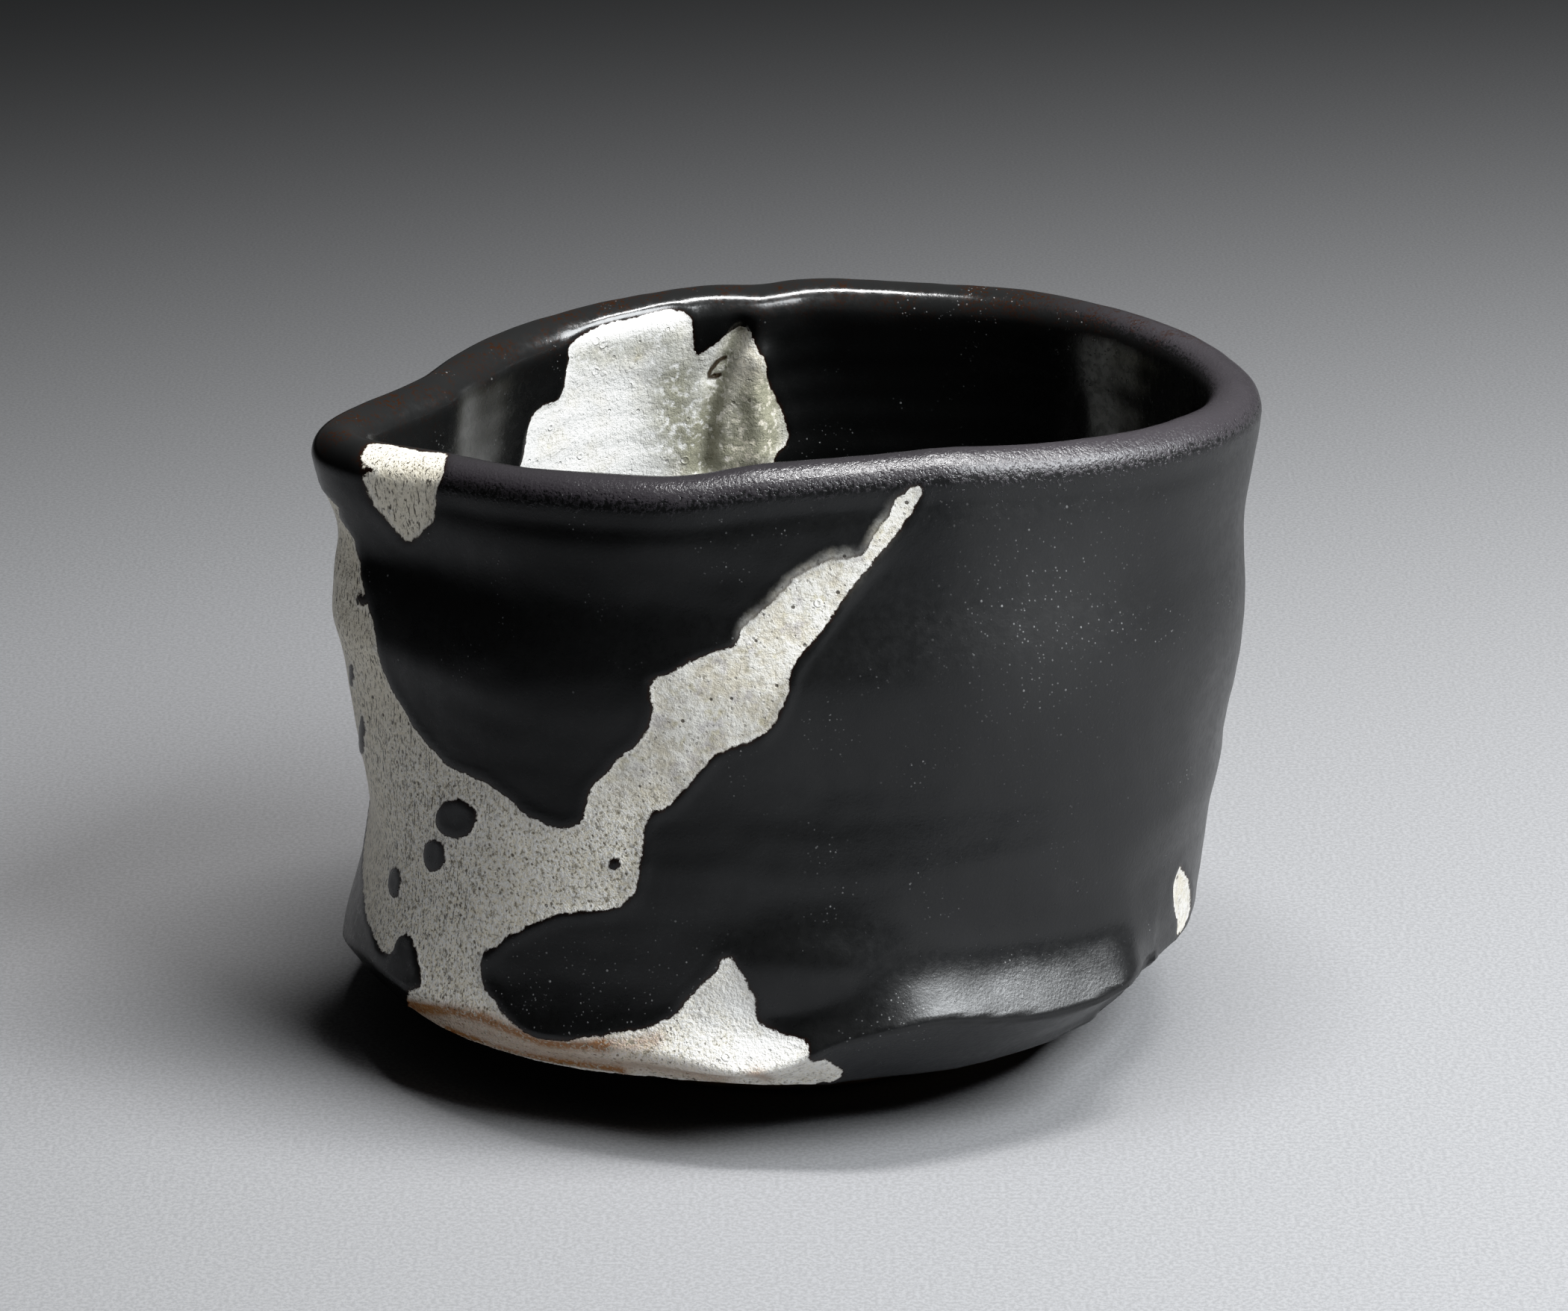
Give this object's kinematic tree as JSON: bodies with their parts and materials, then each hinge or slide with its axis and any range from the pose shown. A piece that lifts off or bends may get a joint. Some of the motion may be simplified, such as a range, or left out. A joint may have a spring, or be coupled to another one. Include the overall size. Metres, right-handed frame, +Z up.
{
  "type": "sake cup",
  "caption": "Hand-thrown stoneware sake cup, oval and pinched to a prow at one end, black glaze with a bare white streak, on a low trimmed foot ring.",
  "frame": {"origin": "the middle of the cup's box, on the table under the foot ring", "axes": "+Z up, +X along the oval from the pinched prow to the broad end, -Y the front of the cup, with the white streak"},
  "size_m": [0.0764, 0.0652, 0.0559],
  "materials": {
    "black_glaze": "satin iron-black glaze over stoneware, with areas of warm grey-white pitted glaze"
  },
  "bodies": {
    "root": {"sake_cup": "black_glaze"}
  },
  "joints": []
}
